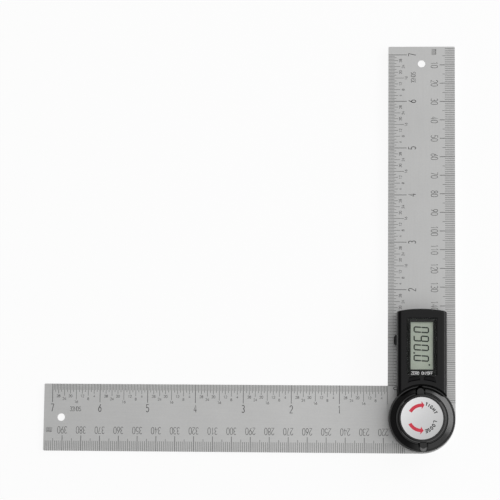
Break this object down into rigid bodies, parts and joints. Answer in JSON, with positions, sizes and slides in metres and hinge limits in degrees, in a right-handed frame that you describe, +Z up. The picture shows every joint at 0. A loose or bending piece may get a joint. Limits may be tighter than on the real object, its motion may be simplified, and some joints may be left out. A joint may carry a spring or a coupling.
{
  "type": "angle finder with arms",
  "caption": "Angle finder: two graduated steel rules on one pivot, with a digital readout box, press buttons, a sliding battery drawer and a round lock knob.",
  "frame": {"origin": "on the pivot axis, in the plane of the lower rule's back face, which is the face the tool lies on", "axes": "+Z up out of the readout and knob, +Y along the upper rule away from the pivot, -X along the lower rule away from the pivot, rules at 90 degrees"},
  "size_m": [0.2178, 0.2178, 0.0158],
  "materials": {
    "rule_steel": "satin brushed, matt",
    "stud_steel": "turned",
    "brass": "turned",
    "black_plastic": "satin moulded",
    "button_plastic": "semi-gloss",
    "knob_plastic": "semi-gloss moulded",
    "label_metal": "satin",
    "clear_window": "clear",
    "display": "display film",
    "bezel_black": "printed",
    "black_rubber": "matt",
    "board_green": "solder mask",
    "spring_metal": "plated strip",
    "screw_steel": "plated",
    "white_washer": "smooth",
    "cell_steel": "bright"
  },
  "bodies": {
    "head_and_upper_arm": {"upper_arm": "rule_steel", "pivot_bush": "brass", "housing": "black_plastic", "housing_base": "black_plastic", "housing_screws": "screw_steel", "board_screws": "screw_steel", "lcd_glass": "display", "zebra_strips": "black_rubber", "display_bezel": "bezel_black", "window_lens": "clear_window", "circuit_board": "board_green", "board_pins": "spring_metal", "key_pad": "black_rubber", "battery_contact_negative": "spring_metal", "battery_contact_positive": "spring_metal", "encoder_stator": "board_green"},
    "lower_arm": {"lower_arm": "rule_steel", "pivot_stud": "stud_steel", "arm_washer": "white_washer", "encoder_rotor": "board_green", "retaining_clip": "spring_metal"},
    "clamp_washer": {"clamp_washer": "stud_steel"},
    "lock_knob": {"lock_knob": "knob_plastic", "knob_insert": "brass", "knob_label": "label_metal"},
    "zero_button": {"zero_button": "button_plastic"},
    "power_button": {"power_button": "button_plastic"},
    "battery_drawer": {"battery_drawer": "black_plastic", "coin_cell": "cell_steel"}
  },
  "joints": [
    {"name": "arm_pivot", "type": "hinge", "parent": "head_and_upper_arm", "child": "lower_arm", "pos_m": [0, 0, 0], "axis": [0, 0, 1], "continuous": true},
    {"name": "clamp_lift", "type": "slide", "parent": "head_and_upper_arm", "child": "clamp_washer", "axis": [0, 0, 1], "range_m": [0, 0.00066667]},
    {"name": "knob_turn", "type": "hinge", "parent": "clamp_washer", "child": "lock_knob", "pos_m": [0, 0, 0], "axis": [0, 0, 1], "range_deg": [0, 300]},
    {"name": "zero_press", "type": "slide", "parent": "head_and_upper_arm", "child": "zero_button", "axis": [0, 0, -1], "range_m": [0, 0.0004], "stiffness_N_per_m": 1500},
    {"name": "power_press", "type": "slide", "parent": "head_and_upper_arm", "child": "power_button", "axis": [0, 0, -1], "range_m": [0, 0.0004], "stiffness_N_per_m": 1500},
    {"name": "battery_slide", "type": "slide", "parent": "head_and_upper_arm", "child": "battery_drawer", "axis": [-1, 0, 0], "range_m": [0, 0.021]}
  ],
  "couplings": [
    {"joint": "knob_turn", "follows": "clamp_lift", "rad_per_m": 7854}
  ]
}
